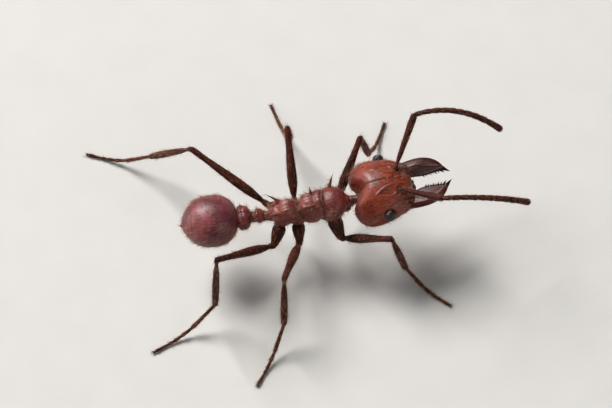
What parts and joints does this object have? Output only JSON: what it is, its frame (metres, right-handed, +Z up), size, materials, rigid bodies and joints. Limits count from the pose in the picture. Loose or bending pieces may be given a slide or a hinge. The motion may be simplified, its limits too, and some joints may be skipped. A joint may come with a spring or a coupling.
{
  "type": "leafcutter ant",
  "caption": "Life-size leafcutter ant in mid-stride: heart-shaped head, toothed mandibles, elbowed antennae, spined thorax, two-knot waist, round gaster and long legs.",
  "frame": {"origin": "on the floor under the middle of the ant's bounding box, at the level of the soles", "axes": "+X forward, from the gaster to the head and the feelers' tips; +Y to the ant's left; +Z up"},
  "size_m": [0.0158, 0.0116, 0.0051],
  "materials": {
    "head": "satin rust-brown cuticle with a fine net of raised lines",
    "thorax": "satin red-brown cuticle, darker at the spines and seams",
    "gaster": "satin rose-brown cuticle under fine hairs, amber at the plates' edges",
    "legs": "dull dark brown cuticle under short hairs",
    "mandibles": "satin, finely furrowed dark red-brown cuticle, black at the teeth",
    "eyes": "glossy black, faceted"
  },
  "bodies": {
    "root": {"head": "head", "eye_left": "eyes", "eye_right": "eyes", "mandible_left": "mandibles", "mandible_right": "mandibles", "antenna_left_scape": "legs", "antenna_left_flagellum": "legs", "antenna_right_scape": "legs", "antenna_right_flagellum": "legs", "thorax": "thorax", "petiole": "thorax", "postpetiole": "thorax", "gaster": "gaster", "gaster_tip": "gaster", "leg_fore_left_coxa": "legs", "leg_fore_left_femur": "legs", "leg_fore_left_tibia": "legs", "leg_fore_left_tarsus": "legs", "leg_fore_right_coxa": "legs", "leg_fore_right_femur": "legs", "leg_fore_right_tibia": "legs", "leg_fore_right_tarsus": "legs", "leg_mid_left_coxa": "legs", "leg_mid_left_femur": "legs", "leg_mid_left_tibia": "legs", "leg_mid_left_tarsus": "legs", "leg_mid_right_coxa": "legs", "leg_mid_right_femur": "legs", "leg_mid_right_tibia": "legs", "leg_mid_right_tarsus": "legs", "leg_hind_left_coxa": "legs", "leg_hind_left_femur": "legs", "leg_hind_left_tibia": "legs", "leg_hind_left_tarsus": "legs", "leg_hind_right_coxa": "legs", "leg_hind_right_femur": "legs", "leg_hind_right_tibia": "legs", "leg_hind_right_tarsus": "legs"}
  },
  "joints": []
}
